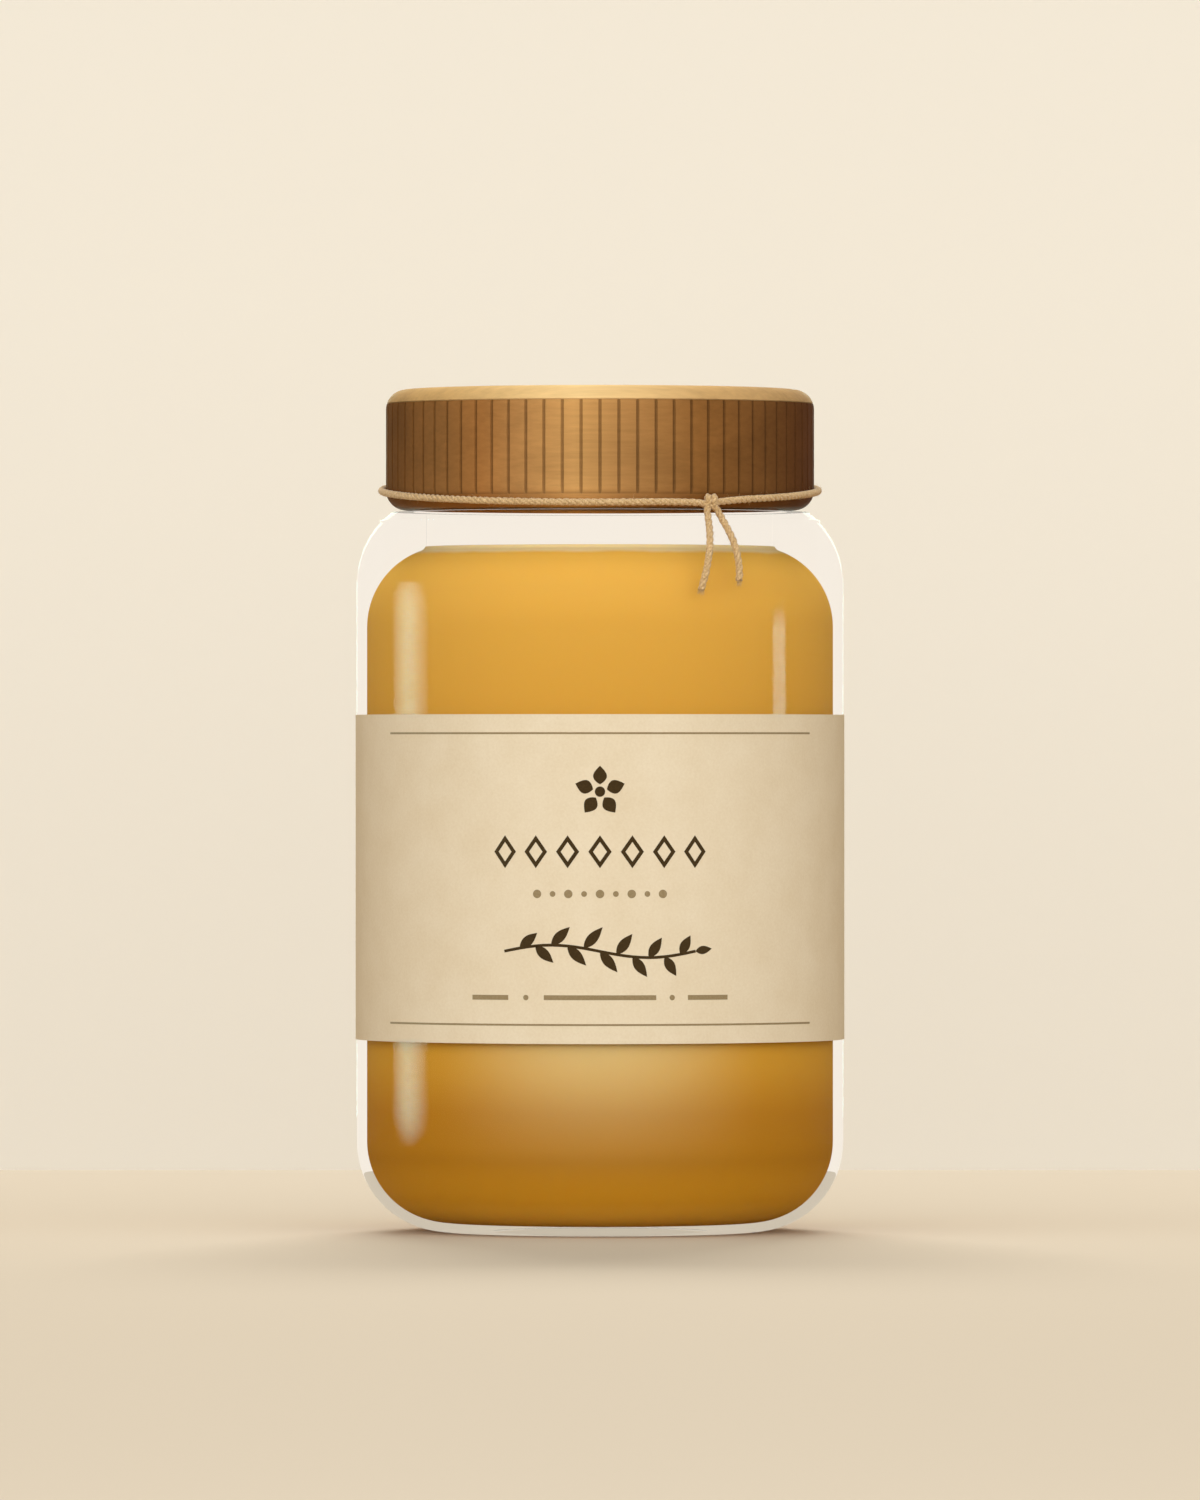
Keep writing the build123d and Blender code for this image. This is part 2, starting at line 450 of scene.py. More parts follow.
# %% Glass
def make_glass():
    material, tree = new_material("pressed soda-lime glass")
    surface = add_node(
        tree,
        "ShaderNodeBsdfPrincipled",
        {
            "Base Color": linear("#FFFFFF"),
            "Transmission Weight": 1.0,
            "IOR": 1.0003,
            "Roughness": 0.0,
            "Coat Weight": 0.1,
            "Coat IOR": 1.5,
            "Coat Roughness": 0.04,
        },
    )
    clear = add_node(tree, "ShaderNodeBsdfTransparent", {"Color": linear("#FFFFFF")})
    ray = add_node(tree, "ShaderNodeLightPath")
    bounced = add_node(
        tree,
        "ShaderNodeMixShader",
        {0: ray.outputs["Is Diffuse Ray"], 1: surface.outputs[0], 2: clear.outputs[0]},
    )
    choice = add_node(
        tree,
        "ShaderNodeMixShader",
        {0: ray.outputs["Is Shadow Ray"], 1: bounced.outputs[0], 2: clear.outputs[0]},
    )
    add_node(tree, "ShaderNodeOutputMaterial", {"Surface": choice.outputs[0]})
    return material


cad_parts["jar"].material_slots[0].material = make_glass()

# %% [markdown]
# ## Honey: the material
# Set honey is cloudy with fine crystals, so it scatters light rather than letting one look
# through it. It could be a true volume, but that is slow and noisy in a closed jar. A surface
# with scattering under it looks the same from outside. Its colour carries painted shade: it runs
# from bright gold under the shoulder to dark amber low down, where least light gets in. The last
# few millimetres are painted brighter, as painted light against the shadow at the foot. A paler
# painted glow at the front and back, below the label's middle, stands for light shining through
# the honey, and a thin pale band on top is partly froth, as on honey that was poured warm, and
# partly a painted highlight along the surface's edge.

# %% Honey
honey_top = honey_high.z
froth_highlight_depth = 0.75 * MM
froth_highlight_blur = 0.4 * MM
glow_foot = 5.0 * MM


def make_honey():
    material, tree = new_material("cloudy golden honey")
    place = add_node(tree, "ShaderNodeTexCoord").outputs["Object"]
    x, y, z = add_node(tree, "ShaderNodeSeparateXYZ", {"Vector": place}).outputs
    height = add_node(
        tree,
        "ShaderNodeMapRange",
        {"Value": z, "From Min": 0.0, "From Max": honey_top},
    )
    # Painted shade and light by height: dark amber low down is painted shade, the lowest stops are
    # painted brighter against the shadow at the foot, and the stop at 0.94 is held a little darker
    # against the light that the upward-facing shoulder catches.
    height_shade_and_light = add_node(
        tree,
        "ShaderNodeValToRGB",
        {"Fac": height.outputs[0]},
        stops=[
            (0.02, "#FFBE44"),
            (0.05, "#DC9C27"),
            (0.11, "#B17819"),
            (0.18, "#B77D21"),
            (0.28, "#D9A238"),
            (0.76, "#D59F3E"),
            (0.87, "#DCA745"),
            (0.94, "#DFAA49"),
            (0.98, "#EAB34C"),
            (1.0, "#FFC350"),
        ],
    )
    # How far a place faces the front or the back: 1 there, and 0 halfway round to the sides.
    x_squared = add_node(tree, "ShaderNodeMath", {0: x, 1: x}, operation="MULTIPLY")
    y_squared = add_node(tree, "ShaderNodeMath", {0: y, 1: y}, operation="MULTIPLY")
    across = add_node(
        tree,
        "ShaderNodeMath",
        {0: y_squared.outputs[0], 1: x_squared.outputs[0]},
        operation="SUBTRACT",
    )
    facing = add_node(
        tree,
        "ShaderNodeMapRange",
        {"Value": across.outputs[0], "From Min": 0.0, "From Max": honey_high.x**2},
    )
    narrow = add_node(tree, "ShaderNodeMath", {0: facing.outputs[0], 1: 1.7}, operation="POWER")
    low = add_node(
        tree,
        "ShaderNodeMapRange",
        {"Value": z, "From Min": glow_foot, "From Max": label_low.z},
    )
    glow_rise = add_node(tree, "ShaderNodeMath", {0: low.outputs[0], 1: 1.9}, operation="POWER")
    # Painted glow: light that seems to shine through the honey, painted at the front and back,
    # strongest just under the label and gone 5 mm above the floor.
    painted_glow = add_node(
        tree,
        "ShaderNodeMath",
        {0: narrow.outputs[0], 1: glow_rise.outputs[0]},
        operation="MULTIPLY",
    )
    upper = add_node(
        tree,
        "ShaderNodeMapRange",
        {"Value": z, "From Min": label_low.z, "From Max": label_high.z, "To Min": 0.46, "To Max": 0.0},
    )
    fading = add_node(
        tree,
        "ShaderNodeMath",
        {0: painted_glow.outputs[0], 1: upper.outputs[0]},
        operation="MULTIPLY",
    )
    # The painted glow's pale colour, mixed over the honey's colour.
    with_painted_glow = add_node(
        tree,
        "ShaderNodeMix",
        {0: fading.outputs[0], 6: height_shade_and_light.outputs["Color"], 7: linear("#EDE6B3")},
        data_type="RGBA",
    )
    ripple = add_node(tree, "ShaderNodeTexNoise", {"Vector": place, "Scale": 180.0})
    # The pale band on top: partly froth, partly a painted highlight along the surface's edge. Its
    # colour is painted bright against the shadow under the cap.
    froth_highlight_edge = add_node(
        tree,
        "ShaderNodeMath",
        {0: ripple.outputs["Fac"], 1: 0.5 * MM, 2: z},
        operation="MULTIPLY_ADD",
    )
    froth_highlight = add_node(
        tree,
        "ShaderNodeMapRange",
        {
            "Value": froth_highlight_edge.outputs[0],
            "From Min": honey_top - froth_highlight_depth,
            "From Max": honey_top - froth_highlight_depth + froth_highlight_blur,
        },
    )
    colour = add_node(
        tree,
        "ShaderNodeMix",
        {0: froth_highlight.outputs[0], 6: with_painted_glow.outputs[2], 7: linear("#FFE0A0")},
        data_type="RGBA",
    )
    surface = add_node(
        tree,
        "ShaderNodeBsdfPrincipled",
        {
            "Base Color": colour.outputs[2],
            "Roughness": 0.6,
            "Specular IOR Level": 0.0,
            "Subsurface Weight": 0.2,
            "Subsurface Radius": (1.0, 0.6, 0.2),
            "Subsurface Scale": 2.0 * MM,
        },
    )
    add_node(tree, "ShaderNodeOutputMaterial", {"Surface": surface.outputs[0]})
    return material


honey_material = make_honey()

# %% [markdown]
# ## Honey: the shape
# Honey takes the shape of the space inside the glass, so it is turned on the same profile. It
# reaches a tenth of a millimetre into the wall, because even a thin gap of air between honey and
# glass would show as a silvery line. At the top it climbs the wall a little, as liquids do.

# %% The honey's body
def arc(centre, radius, start, end, steps):
    """Points (out, up) on an arc, with its angles in degrees above the horizontal."""
    angles = [math.radians(start + (end - start) * i / steps) for i in range(steps + 1)]
    return [(centre[0] + radius * math.cos(a), centre[1] + radius * math.sin(a)) for a in angles]


def lathe(profile, turns=256):
    """Points and faces of a closed profile turned round the axis, from pole to pole."""
    points = [(0, 0, profile[0][1])]
    for out, up in profile[1:-1]:
        for i in range(turns):
            angle = 2 * math.pi * i / turns
            points.append((out * math.cos(angle), out * math.sin(angle), up))
    points.append((0, 0, profile[-1][1]))
    rings, last, faces = len(profile) - 2, len(points) - 1, []
    for i in range(turns):
        j = (i + 1) % turns
        faces.append((0, 1 + j, 1 + i))
        for ring in range(rings - 1):
            a, b = 1 + ring * turns, 1 + (ring + 1) * turns
            faces.append((a + i, a + j, b + j, b + i))
        faces.append((last, last - turns + i, last - turns + j))
    return points, faces


into_wall = 0.12 * MM
honey_clearance = 0.05 * MM
cavity_round = 11.8 * MM
bore_round = 1.2 * MM
bore_radius = 25.5 * MM
cavity_radius = honey_high.x + honey_clearance
cavity_floor = honey_low.z - honey_clearance
corner_out = cavity_radius - cavity_round
corner_top = 88.9 * MM
turn_up_out = bore_radius + bore_round
both_rounds = cavity_round + bore_round
turn_up_height = corner_top + math.sqrt(both_rounds**2 - (turn_up_out - corner_out) ** 2)
shoulder_end = math.degrees(math.asin((turn_up_height - corner_top) / both_rounds))
turn_up_radius = bore_round - into_wall
level_angle = math.degrees(math.asin((turn_up_height - honey_top) / turn_up_radius))
# The honey's rise at the wall: millimetres in from the wall, and millimetres above the level.
meniscus = [(1.0, 0.16), (2.2, 0.05), (4.0, 0.0)]

# From the middle of the foot outwards, up the wall, over the shoulder and into the bore.
profile = [(0, cavity_floor - into_wall)]
profile += [(corner_out * share, cavity_floor - into_wall) for share in (0.5, 0.9)]
profile += arc((corner_out, cavity_floor + cavity_round), cavity_round + into_wall, -90, 0, 24)
for share in (0.4, 0.7):
    profile.append((cavity_radius + into_wall, cavity_floor + (corner_top - cavity_floor) * share))
profile += arc((corner_out, corner_top), cavity_round + into_wall, 0, shoulder_end, 20)
bore_end = 180 + level_angle - 14
profile += arc((turn_up_out, turn_up_height), turn_up_radius, 180 + shoulder_end, bore_end, 6)[1:]
wall_end = profile[-1][0]
profile += [(wall_end - d * MM, honey_top + rise * MM) for d, rise in meniscus]
profile += [(0, honey_top)]
points, faces = lathe(profile)
honey = new_piece("honey_fill", points, faces, honey_material)
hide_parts("honey")

# %% [markdown]
# ## Paper
# The label is uncoated cream paper, which has no gloss at all. Up close its surface is a felt of
# short fibres about a twentieth of a millimetre thick, and they gather in paler and darker
# clouds some millimetres across. Both are noise. The felt is drawn larger than life, so that it
# can be seen at all.

# %% Paper
def make_paper():
    material, tree = new_material("uncoated cream paper")
    place = add_node(tree, "ShaderNodeTexCoord").outputs["Object"]
    felt_size = 0.35 * MM
    cloud_size = 6.0 * MM
    felt = add_node(
        tree,
        "ShaderNodeTexNoise",
        {"Vector": place, "Scale": 1 / felt_size, "Detail": 4.0},
    )
    mottle = add_node(
        tree,
        "ShaderNodeTexNoise",
        {"Vector": place, "Scale": 1 / cloud_size, "Detail": 3.0},
    )
    both = add_node(
        tree,
        "ShaderNodeMath",
        {0: felt.outputs["Fac"], 1: mottle.outputs["Fac"]},
        operation="ADD",
    )
    half = add_node(tree, "ShaderNodeMath", {0: both.outputs[0], 1: 0.5}, operation="MULTIPLY")
    tone = add_node(
        tree,
        "ShaderNodeValToRGB",
        {"Fac": half.outputs[0]},
        stops=[(0.3, "#E2D1B1"), (0.7, "#EBDDC1")],
    )
    bump = add_node(
        tree,
        "ShaderNodeBump",
        {"Height": felt.outputs["Fac"], "Strength": 0.25, "Distance": 0.03 * MM},
    )
    surface = add_node(
        tree,
        "ShaderNodeBsdfPrincipled",
        {
            "Base Color": tone.outputs["Color"],
            "Normal": bump.outputs["Normal"],
            "Roughness": 0.85,
            "Specular IOR Level": 0.0,
        },
    )
    add_node(tree, "ShaderNodeOutputMaterial", {"Surface": surface.outputs[0]})
    return material


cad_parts["label"].material_slots[0].material = make_paper()

# %% [markdown]
# ## The print
# The print is plain ornament: two thin rules, a blossom, a row of lozenges, a row of dots, a
# sprig of leaves and a line of dashes. It could be painted in the paper's material, but a shape
# keeps its crisp edge at any distance, so each is a film of ink. It is drawn flat, in
# millimetres across and up. Three kinds of shape are enough: a stroke, a dot and a leaf.

# %% Flat shapes for the print
def stroke(line, width, closed=False):
    """Quadrilaterals that follow a line of points, with mitred corners."""
    count = len(line)
    sides = []
    for i, point in enumerate(line):
        before = line[i - 1] if closed or i else None
        after = line[(i + 1) % count] if closed or i < count - 1 else None
        ways = []
        if before is not None:
            ways.append((Vector(point) - Vector(before)).normalized())
        if after is not None:
            ways.append((Vector(after) - Vector(point)).normalized())
        way = sum(ways, Vector((0, 0))).normalized()
        across = Vector((-way.y, way.x))
        mitre = width / 2 / max(0.3, across.dot(Vector((-ways[0].y, ways[0].x))))
        sides.append((Vector(point) + across * mitre, Vector(point) - across * mitre))
    pairs = zip(sides, sides[1:] + sides[:1]) if closed else zip(sides, sides[1:])
    return [[a[1], b[1], b[0], a[0]] for a, b in pairs]


def disc(centre, radius, sides=24):
    """A round dot."""
    edge = []
    for k in range(sides):
        angle = 2 * math.pi * k / sides
        edge.append(Vector(centre) + radius * Vector((math.cos(angle), math.sin(angle))))
    return [edge]


def leaf(root, angle, length, width, steps=10):
    """A pointed leaf that grows from its root at this angle."""
    way = Vector((math.cos(angle), math.sin(angle)))
    across = Vector((-way.y, way.x))
    edge = []
    for i in range(steps + 1):
        share = i / steps
        edge.append((share * length, math.sin(math.pi * share**0.85) * width / 2))
    outline = [Vector(root) + way * far - across * wide for far, wide in edge]
    outline += [Vector(root) + way * far + across * wide for far, wide in reversed(edge[1:-1])]
    return [outline]


# %% [markdown]
# ## The print: on the label
# A flat shape has to follow the round paper. A modifier could wrap it, but it bends only where
# it has points, so each shape is first cut into strips a millimetre wide. Its distance across
# then becomes an angle round the jar. The ink sinks a little into the paper, so that no gap
# shows under it, and takes up the paper's fibres as paler specks.

# %% Bend the shapes round the jar
def printed(name, shapes, material):
    """A film of ink from flat shapes in millimetres: across from the middle, and up."""
    film = bmesh.new()
    for shape in shapes:
        film.faces.new([film.verts.new((p[0] * MM, 0, p[1] * MM)) for p in shape])
    strip = 1.0 * MM  # narrow enough to lie smooth on the round jar
    reach = max(abs(v.co.x) for v in film.verts)
    for i in range(-int(reach / strip) - 1, int(reach / strip) + 2):
        geometry = film.verts[:] + film.edges[:] + film.faces[:]
        bmesh.ops.bisect_plane(film, geom=geometry, plane_co=(i * strip, 0, 0), plane_no=(1, 0, 0))
    bmesh.ops.triangulate(film, faces=film.faces[:])
    thickness = 0.03 * MM
    sunk = 0.01 * MM
    lower = film.faces[:]
    raised = bmesh.ops.extrude_face_region(film, geom=lower)
    top = {v for v in raised["geom"] if isinstance(v, bmesh.types.BMVert)}
    for v in film.verts:
        radius = label_radius - sunk + (thickness if v in top else 0)
        angle = v.co.x / label_radius
        v.co = Vector((radius * math.sin(angle), -radius * math.cos(angle), v.co.z))
    bmesh.ops.recalc_face_normals(film, faces=film.faces[:])
    mesh = bpy.data.meshes.new(name)
    film.to_mesh(mesh)
    film.free()
    mesh.materials.append(material)
    piece = bpy.data.objects.new(name, mesh)
    bpy.context.collection.objects.link(piece)
    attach(piece, "root")
    print(f"{name}: {len(mesh.polygons)} faces")
    return piece


def make_ink(name, hex_code, thin_hex_code):
    """Ink of this colour, and its paler colour where the paper's fibres take less of it."""
    material, tree = new_material(name)
    place = add_node(tree, "ShaderNodeTexCoord").outputs["Object"]
    bite = add_node(tree, "ShaderNodeTexNoise", {"Vector": place, "Scale": 1 / (0.3 * MM)})
    thin = add_node(
        tree,
        "ShaderNodeMapRange",
        {"Value": bite.outputs["Fac"], "From Min": 0.4, "From Max": 0.8, "To Max": 0.35},
    )
    tint = add_node(
        tree,
        "ShaderNodeMix",
        {0: thin.outputs[0], 6: linear(hex_code), 7: linear(thin_hex_code)},
        data_type="RGBA",
    )
    surface = add_node(
        tree,
        "ShaderNodeBsdfPrincipled",
        {"Base Color": tint.outputs[2], "Roughness": 0.7, "Specular IOR Level": 0.2},
    )
    add_node(tree, "ShaderNodeOutputMaterial", {"Surface": surface.outputs[0]})
    return material


# %% [markdown]
# ## The print: the ornament
# The ornament runs down the middle of the label between the two rules, and grows and shrinks
# from row to row as the lines on a label do. Most rows are even, so a loop draws them. The sprig
# is one wave, with leaves on alternate sides that lean more and more towards its tip.

# %% Draw the print
# All sizes here are in millimetres: across from the label's middle, and up from the floor.
dark_ink = make_ink("dark brown printing ink", "#3C2C11", "#57421F")
pale_ink = make_ink("pale brown printing ink", "#94815E", "#B09E7C")
label_foot = label_low.z / MM
label_head = label_high.z / MM
rule_inset = 2.75
rule_reach = 36.5  # along the paper, from the middle
rule_width = 0.28

rules = []
for height in (label_foot + rule_inset, label_head - rule_inset):
    rules += stroke([(-rule_reach, height), (rule_reach, height)], rule_width)
printed("print_rules", rules, pale_ink)

blossom_middle = (0.0, 64.8)
petal_start = 1.05
petal_length = 2.7
petal_width = 2.0
blossom = disc(blossom_middle, 0.75)
for petal in range(5):
    angle = math.radians(90 + 72 * petal)
    way = Vector((math.cos(angle), math.sin(angle)))
    blossom += leaf(Vector(blossom_middle) + way * petal_start, angle, petal_length, petal_width)
printed("print_blossom", blossom, dark_ink)

lozenge_step = 4.7
lozenge_height = 56.1
half_width = 1.35
half_height = 1.9
lozenges = []
for i in range(-3, 4):
    x = i * lozenge_step
    z = lozenge_height
    corners = [(x, z + half_height), (x + half_width, z), (x, z - half_height), (x - half_width, z)]
    lozenges += stroke(corners, 0.55, closed=True)
printed("print_lozenges", lozenges, dark_ink)

dot_step = 2.3
dot_height = 50.0
dots = []
for i in range(-4, 5):
    dots += disc((i * dot_step, dot_height), 0.42 if i % 2 else 0.62, sides=16)
printed("print_dots", dots, pale_ink)

stem_length = 28.4
stem_height = 41.7
stem_wave = 0.9
stem_steps = 24
stem = []
for s in range(stem_steps + 1):
    wave = stem_wave * math.sin(2 * math.pi * s / stem_steps)
    stem.append((-stem_length / 2 + stem_length * s / stem_steps, stem_height + wave))
sprig = stroke(stem, 0.42)
for i in range(1, 12):
    root = stem[2 * i]
    lean = math.radians(38 + 2 * i)
    size = 4.1 - 0.16 * abs(i - 5)
    sprig += leaf(root, lean if i % 2 else -lean, size, 1.5)
sprig += leaf(stem[-1], math.radians(8), 2.6, 1.2)
printed("print_sprig", sprig, dark_ink)

dash_height = 35.0
dashes = []
for start, end in ((-19.4, -13.6), (-8.2, 8.2), (13.0, 19.4)):
    dashes += stroke([(start, dash_height), (end, dash_height)], 0.7)
for x in (-10.9, 10.6):
    dashes += disc((x, dash_height), 0.4, sides=16)
printed("print_dashes", dashes, pale_ink)

# %% [markdown]
# ## Turned wood
# Both parts of the cap are beech, turned on a lathe from boards whose grain runs from side to
# side. Their colour is painted across X: pale in the middle band at the front and back, as a
# painted highlight, and dark towards the two sides, as painted shade of the round cap. The skirt
# is stained brown, its grooves are painted darker as painted shade, and the disc on top is only
# oiled. Neither has a lacquer, so there is hardly any gloss.

# %% Wood
groove_foot = 1.9 * MM
groove_depth = 0.25 * MM
fibre_size = (14 * MM, 0.9 * MM, 0.6 * MM)  # long along X
ring_size = (60 * MM, 7 * MM, 7 * MM)


def make_wood(name, colour_and_shade_across, roughness, grooved):
    """Beech, its colours given from -X (0) to +X (1): painted shade towards the sides, a painted
    highlight between.
    """
    material, tree = new_material(name)
    place = add_node(tree, "ShaderNodeTexCoord").outputs["Object"]
    x, y, z = add_node(tree, "ShaderNodeSeparateXYZ", {"Vector": place}).outputs
    across = add_node(
        tree,
        "ShaderNodeMapRange",
        {"Value": x, "From Min": -cap_radius, "From Max": cap_radius},
    )
    # Painted shade and highlight: the colour runs across X, pale in the middle band and dark towards
    # both sides, for how light falls on the round cap.
    base = add_node(tree, "ShaderNodeValToRGB", {"Fac": across.outputs[0]}, stops=colour_and_shade_across)
    stretch = add_node(
        tree,
        "ShaderNodeVectorMath",
        {0: place, 1: [1 / size for size in fibre_size]},
        operation="MULTIPLY",
    )
    fibre = add_node(
        tree,
        "ShaderNodeTexNoise",
        {"Vector": stretch.outputs[0], "Scale": 1.0, "Detail": 4.0, "Roughness": 0.6},
    )
    ring_stretch = add_node(
        tree,
        "ShaderNodeVectorMath",
        {0: place, 1: [1 / size for size in ring_size]},
        operation="MULTIPLY",
    )
    rings = add_node(
        tree,
        "ShaderNodeTexNoise",
        {"Vector": ring_stretch.outputs[0], "Scale": 1.0, "Detail": 2.0, "Distortion": 0.6},
    )
    figure = add_node(
        tree,
        "ShaderNodeMath",
        {0: rings.outputs["Fac"], 1: fibre.outputs["Fac"]},
        operation="ADD",
    )
    shade = add_node(
        tree,
        "ShaderNodeMapRange",
        {
            "Value": figure.outputs[0],
            "From Min": 0.7,
            "From Max": 1.3,
            "To Min": 0.86,
            "To Max": 1.12,
        },
    )
    colour = add_node(
        tree,
        "ShaderNodeVectorMath",
        {0: base.outputs["Color"], "Scale": shade.outputs[0]},
        operation="SCALE",
    )
    # Painted shade in the grooves: the colour drops to about half where the surface sinks in, above
    # the groove foot.
    if grooved:
        x_squared = add_node(tree, "ShaderNodeMath", {0: x, 1: x}, operation="MULTIPLY")
        both_squared = add_node(
            tree,
            "ShaderNodeMath",
            {0: y, 1: y, 2: x_squared.outputs[0]},
            operation="MULTIPLY_ADD",
        )
        radius = add_node(tree, "ShaderNodeMath", {0: both_squared.outputs[0]}, operation="SQRT")
        sunk = add_node(
            tree,
            "ShaderNodeMapRange",
            {
                "Value": radius.outputs[0],
                "From Min": cap_radius - groove_depth,
                "From Max": cap_radius - groove_depth * 0.2,
                "To Min": 0.52,
                "To Max": 1.0,
            },
        )
        above_foot = add_node(
            tree,
            "ShaderNodeMath",
            {0: z, 1: cap_low.z + groove_foot},
            operation="LESS_THAN",
        )
        groove_shade = add_node(
            tree,
            "ShaderNodeMath",
            {0: sunk.outputs[0], 1: above_foot.outputs[0]},
            operation="MAXIMUM",
        )
        colour = add_node(
            tree,
            "ShaderNodeVectorMath",
            {0: colour.outputs[0], "Scale": groove_shade.outputs[0]},
            operation="SCALE",
        )
    bump = add_node(
        tree,
        "ShaderNodeBump",
        {"Height": fibre.outputs["Fac"], "Strength": 0.3, "Distance": 0.06 * MM},
    )
    surface = add_node(
        tree,
        "ShaderNodeBsdfPrincipled",
        {
            "Base Color": colour.outputs[0],
            "Normal": bump.outputs["Normal"],
            "Roughness": roughness,
            "Specular IOR Level": 0.02,
        },
    )
    add_node(tree, "ShaderNodeOutputMaterial", {"Surface": surface.outputs[0]})
    return material


# Brown stain with painted shade across X: darkest at the two sides, with a painted highlight a little
# left of the middle.
stained_and_shaded = [
    (0.0, "#66401A"),
    (0.14, "#8E6233"),
    (0.23, "#A16E3A"),
    (0.31, "#AE7F4A"),
    (0.44, "#C9995C"),
    (0.56, "#AD7F4A"),
    (0.73, "#8A5E30"),
    (0.9, "#6E4926"),
    (1.0, "#553018"),
]
# Oiled beech with the same painted shade and highlight across X.
oiled_and_shaded = [(0.0, "#B2905E"), (0.15, "#CDA76D"), (0.45, "#EBC88C"), (0.75, "#CDA66E"), (1.0, "#AE8D60")]
cap_wood = make_wood("stained beech, turned", stained_and_shaded, roughness=0.65, grooved=True)
disc_wood = make_wood("oiled beech, turned", oiled_and_shaded, roughness=0.5, grooved=False)
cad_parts["cap"].material_slots[0].material = cap_wood
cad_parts["cap_disc"].material_slots[0].material = disc_wood

# %% [markdown]
# ## Floor and backdrop
# The jar stands on a plain pale surface in front of a paler wall. Both are only a stage. The wall
# can be seen from its front alone, so that it doesn't stand in the way from behind, and it lets
# lamps through. Pale sheets this near would throw back so much light that the jar's round sides
# would look flat, so what bounces off them has a darker colour than what is seen of them.
# Through the glass each sheet is one plain colour, because the jar's own shadow would otherwise
# show there as a dark lens.

# %% Stage
wall_distance = 0.1454 * camera_distance  # sets where in the picture the floor ends
bounce_code = "#9C8868"


def make_backdrop(name, hex_code, glass_hex_code):
    """A matt finish, darker to bounced light, and of one plain colour through the glass."""
    material, tree = new_material(name)
    ray = add_node(tree, "ShaderNodeLightPath")
    colour = add_node(
        tree,
        "ShaderNodeMix",
        {0: ray.outputs["Is Diffuse Ray"], 6: linear(hex_code), 7: linear(bounce_code)},
        data_type="RGBA",
    )
    surface = add_node(
        tree,
        "ShaderNodeBsdfPrincipled",
        {"Base Color": colour.outputs[2], "Roughness": 0.9, "Specular IOR Level": 0.0},
    )
    plain = add_node(tree, "ShaderNodeEmission", {"Color": linear(glass_hex_code)})
    through_glass = add_node(
        tree,
        "ShaderNodeMixShader",
        {0: ray.outputs["Is Transmission Ray"], 1: surface.outputs[0], 2: plain.outputs[0]},
    )
    clear = add_node(tree, "ShaderNodeBsdfTransparent")
    back = add_node(tree, "ShaderNodeNewGeometry")
    choice = add_node(
        tree,
        "ShaderNodeMixShader",
        {0: back.outputs["Backfacing"], 1: through_glass.outputs[0], 2: clear.outputs[0]},
    )
    add_node(tree, "ShaderNodeOutputMaterial", {"Surface": choice.outputs[0]})
    return material


def stage_sheet(name, corners, material):
    """A flat sheet of the stage."""
    mesh = bpy.data.meshes.new(name)
    mesh.from_pydata(corners, [], [(0, 1, 2, 3)])
    mesh.materials.append(material)
    sheet = bpy.data.objects.new(name, mesh)
    bpy.context.collection.objects.link(sheet)
    return sheet


floor_half = 4.0
wall_top = 2.0
floor_corners = [
    (-floor_half, -floor_half, 0),
    (floor_half, -floor_half, 0),
    (floor_half, floor_half, 0),
    (-floor_half, floor_half, 0),
]
wall_corners = [
    (-floor_half, wall_distance, 0),
    (floor_half, wall_distance, 0),
    (floor_half, wall_distance, wall_top),
    (-floor_half, wall_distance, wall_top),
]
stage_sheet("floor", floor_corners, make_backdrop("matt table top", "#D2C6B1", "#CDC1AD"))
wall = stage_sheet("wall", wall_corners, make_backdrop("matt wall", "#F4EFE2", "#F6EDE0"))
wall.visible_shadow = False

# %% [markdown]
# ## Light
# A big soft lamp in front and a pale room light the jar together, so that colours come out about
# as they are written. The room is bright in front, and dim and a little warm behind, so that the
# round sides fall off gently. A lamp high up behind lays the jar's soft shadow towards the
# camera.
#
# The small lamps are there for the glass alone, and show only in its reflections. On the left
# four of them, each wider and shorter than the one before, make one broad streak with soft
# edges. On the right one lamp makes a short thin streak. The ones behind draw the fine bright
# outline of the neck, the shoulder and the sides. They are a little green, because their
# light is seen over warm honey.

# %% Lamps
plain_light = "#FFFFFF"
gloss_light = "#CFFFEE"


def add_lamp(name, place, aim, width, height, power, for_gloss=False):
    """A rectangular lamp at a place, turned to face a point, seen in reflections or not."""
    data = bpy.data.lights.new(name, "AREA")
    data.shape = "RECTANGLE"
    data.size = width
    data.size_y = height
    data.energy = power
    data.color = linear(gloss_light if for_gloss else plain_light)[:3]
    lamp = bpy.data.objects.new(name, data)
    lamp.location = place
    lamp.rotation_euler = (Vector(aim) - Vector(place)).to_track_quat("-Z", "Y").to_euler()
    lamp.visible_camera = False
    lamp.visible_transmission = False
    lamp.visible_diffuse = not for_gloss
    lamp.visible_glossy = for_gloss
    bpy.context.collection.objects.link(lamp)
    return lamp


def around(angle, distance, height):
    """A place at this angle from the front, towards +X, and this far from the jar's axis."""
    turn = math.radians(angle)
    return (distance * math.sin(turn), -distance * math.cos(turn), height)


def gloss_lamp(name, place, aim, width, height, power):
    """A small lamp that shows in reflections alone."""
    return add_lamp(name, place, aim, width, height, power, for_gloss=True)


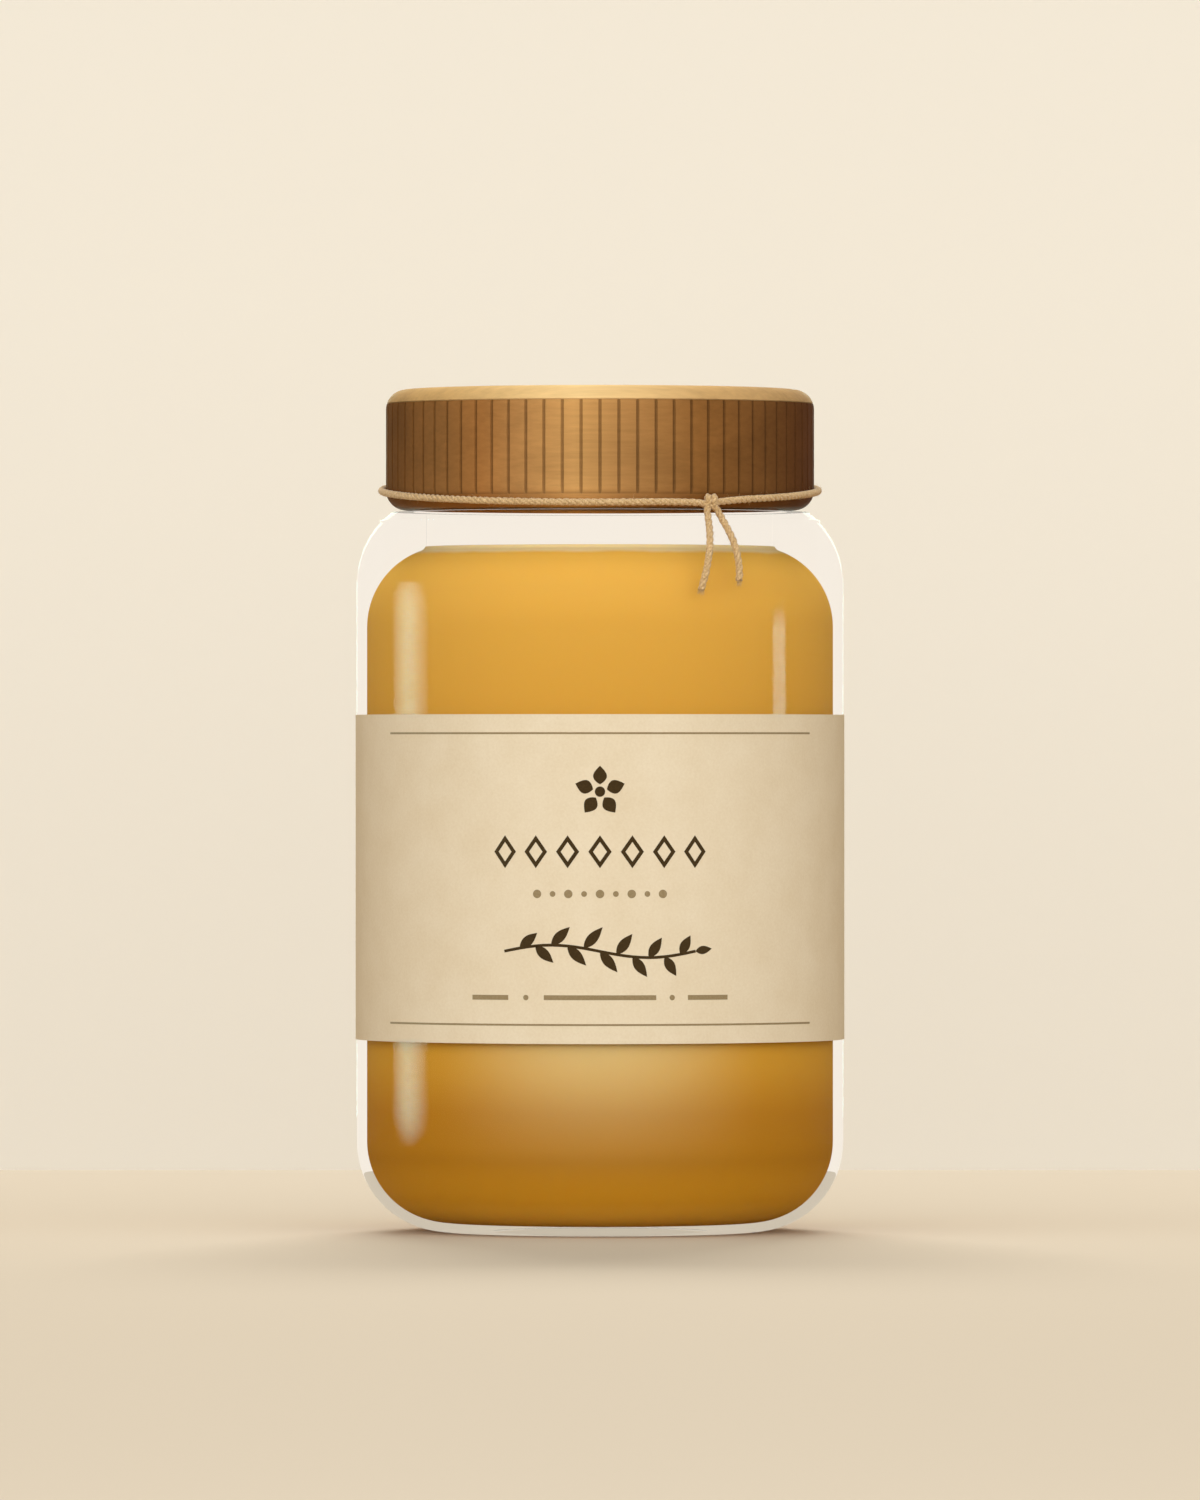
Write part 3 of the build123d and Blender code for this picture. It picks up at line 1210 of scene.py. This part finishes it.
# Each lamp's last three numbers are its width and height in metres, and its power in watts.
middle = (0, 0, whole_height / 2)
add_lamp("key", around(2, 1.6, 0.3), middle, 1.8, 1.0, 12.6)
add_lamp("back", (0.0, 2.2, 2.0), middle, 1.5, 1.0, 72)
left_angle = -99.5
left_height = 0.051
for width in (0.075, 0.12, 0.17, 0.23):
    place = around(left_angle, 0.5 + width / 10, left_height)
    height = 0.107 - 0.045 * width
    power = 3.35 * width
    gloss_lamp("left_streak", place, (0, 0, left_height), width, height, power)
gloss_lamp("right_streak", around(91.2, 0.5, 0.077), (0, 0, 0.077), 0.07, 0.036, 0.275)
gloss_lamp("neck_rim", (0, 0.26, 0.11), (0, 0, 0.11), 0.06, 0.03, 0.05)
for side in (-1, 1):
    gloss_lamp("rim", around(side * 172, 0.26, 0.055), (0, 0, 0.055), 0.06, 0.09, 0.11)
    gloss_lamp("shoulder_rim", (side * 0.06, 0.26, 0.14), (side * 0.03, 0, 0.1), 0.06, 0.07, 0.055)

# %% [markdown]
# ## The room
# The room is the world. Its direction vector, multiplied by one that points to the back and a
# little to the right, says how far back a place in the room is, and its strength and its warmth
# both follow from that. To the eye, in mirrors and through glass it is one plain pale colour.

# %% World
world = bpy.data.worlds.new("pale room")
world.use_nodes = True
room_tree = world.node_tree
room_tree.nodes.clear()
way = add_node(room_tree, "ShaderNodeTexCoord").outputs["Generated"]
rearward = add_node(
    room_tree,
    "ShaderNodeVectorMath",
    {0: way, 1: (0.1, 1.0, 0.0)},
    operation="DOT_PRODUCT",
)
strength = add_node(
    room_tree,
    "ShaderNodeMapRange",
    {
        "Value": rearward.outputs["Value"],
        "From Min": -0.55,
        "From Max": 0.4,
        "To Min": 1.14,
        "To Max": 0.13,
    },
)
warmth = add_node(
    room_tree,
    "ShaderNodeValToRGB",
    {"Fac": rearward.outputs["Value"]},
    stops=[(0.0, "#FFFFFF"), (0.4, "#FFC280")],
)
room = add_node(
    room_tree,
    "ShaderNodeBackground",
    {"Color": warmth.outputs["Color"], "Strength": strength.outputs[0]},
)
seen = add_node(
    room_tree,
    "ShaderNodeBackground",
    {"Color": linear("#F0E7D6"), "Strength": 1.0},
)
ray = add_node(room_tree, "ShaderNodeLightPath")
seen_or_mirrored = add_node(
    room_tree,
    "ShaderNodeMath",
    {0: ray.outputs["Is Camera Ray"], 1: ray.outputs["Is Glossy Ray"]},
    operation="MAXIMUM",
)
looked_at = add_node(
    room_tree,
    "ShaderNodeMath",
    {0: seen_or_mirrored.outputs[0], 1: ray.outputs["Is Transmission Ray"]},
    operation="MAXIMUM",
)
choice = add_node(
    room_tree,
    "ShaderNodeMixShader",
    {0: looked_at.outputs[0], 1: room.outputs[0], 2: seen.outputs[0]},
)
add_node(room_tree, "ShaderNodeOutputWorld", {"Surface": choice.outputs[0]})
bpy.context.scene.world = world
bpy.context.scene.view_settings.view_transform = "Standard"
